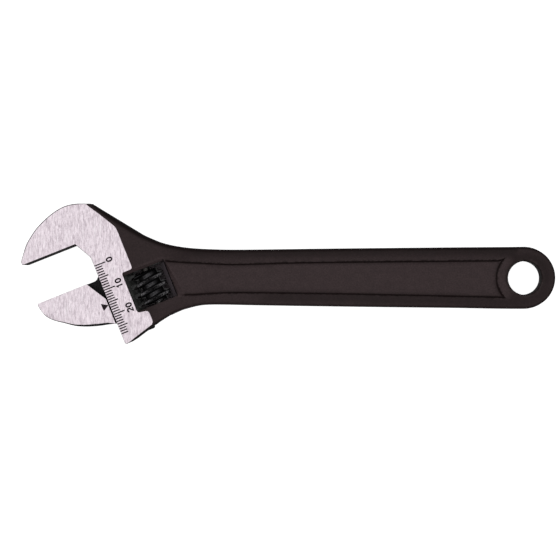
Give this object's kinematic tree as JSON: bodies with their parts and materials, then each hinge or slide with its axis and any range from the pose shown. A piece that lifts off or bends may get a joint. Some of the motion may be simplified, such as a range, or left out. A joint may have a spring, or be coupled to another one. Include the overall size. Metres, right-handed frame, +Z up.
{
  "type": "adjustable wrench",
  "caption": "Flat forged adjustable wrench with tilted jaws, sliding jaw driven by a knurled worm, graduated head and a handle with sunk panels and a hanging hole.",
  "frame": {"origin": "centre of the wrench's bounding box at its underside, lying flat with the jaw opened 15.9 mm", "axes": "+X along the handle from the jaws to the hanging hole, +Y across the handle to the side of the fixed jaw, +Z up through the thickness, out of the graduated face"},
  "size_m": [0.2062, 0.054, 0.013],
  "materials": {
    "black_oxide_steel": "black phosphate on forged steel, satin, fine grain; the head's two side faces are ground bright",
    "ground_steel": "ground bright steel side faces with fine grinding lines, black neck and rack",
    "worm_steel": "black oxide, worn brighter on the thread crests",
    "pin_steel": "black oxide, satin",
    "spring_steel": "drawn spring wire, oiled"
  },
  "bodies": {
    "forged_body": {"body": "black_oxide_steel", "worm_pin": "pin_steel", "worm_spring": "spring_steel"},
    "sliding_jaw": {"movable_jaw": "ground_steel"},
    "worm_screw": {"worm": "worm_steel"}
  },
  "joints": [
    {"name": "jaw_slide", "type": "slide", "parent": "forged_body", "child": "sliding_jaw", "axis": [0.3697, -0.9291, 0], "range_m": [-0.0158, 0.0121]},
    {"name": "worm_spin", "type": "hinge", "parent": "forged_body", "child": "worm_screw", "pos_m": [-0.0532, -0.0049, 0.0065], "axis": [0.3697, -0.9291, 0], "range_deg": [-1180, 1540]}
  ],
  "couplings": [
    {"joint": "worm_spin", "follows": "jaw_slide", "rad_per_m": -1698.2}
  ]
}
